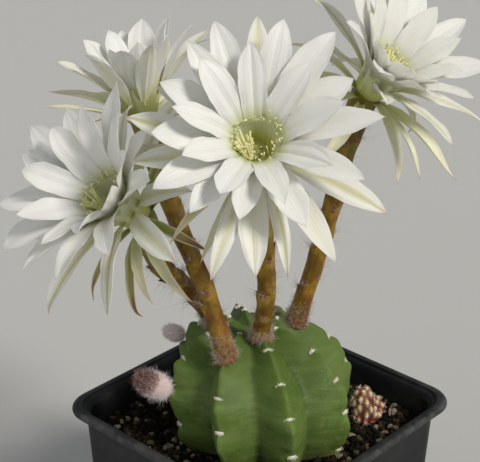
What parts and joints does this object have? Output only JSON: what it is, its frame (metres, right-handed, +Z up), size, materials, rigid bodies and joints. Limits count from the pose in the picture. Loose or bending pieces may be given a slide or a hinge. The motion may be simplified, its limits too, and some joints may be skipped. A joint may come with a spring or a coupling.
{
  "type": "potted easter lily cactus",
  "caption": "Round ribbed cactus in a square plastic pot of gritty soil, with long-tubed white funnel flowers, woolly buds and small offsets.",
  "frame": {"origin": "middle of the pot's underside, on the surface that the pot stands on", "axes": "+Z up; the pot's sides face X and Y, and the pot's corner at -45 degrees is the front, within 2 degrees of where the picture was taken from"},
  "size_m": [0.1753, 0.189, 0.3094],
  "materials": {
    "pot_plastic": "satin moulded",
    "soil": "gritty potting mix",
    "cactus_skin": "smooth living skin",
    "tube_skin": "scaly and hairy",
    "petal_white": "satin petal",
    "throat_green": "satin petal",
    "bud_wool": "woolly",
    "offset_skin": "knobbly"
  },
  "bodies": {
    "root": {"pot": "pot_plastic", "soil": "soil", "cactus_body": "cactus_skin", "tube_front": "tube_skin", "tube_left": "tube_skin", "tube_back": "tube_skin", "tube_right": "tube_skin", "bloom_front": "petal_white", "bloom_left": "petal_white", "bloom_back": "petal_white", "bloom_right": "petal_white", "throat_front": "throat_green", "throat_left": "throat_green", "throat_back": "throat_green", "throat_right": "throat_green", "bud_large": "bud_wool", "bud_small": "bud_wool", "offsets": "offset_skin"}
  },
  "joints": []
}
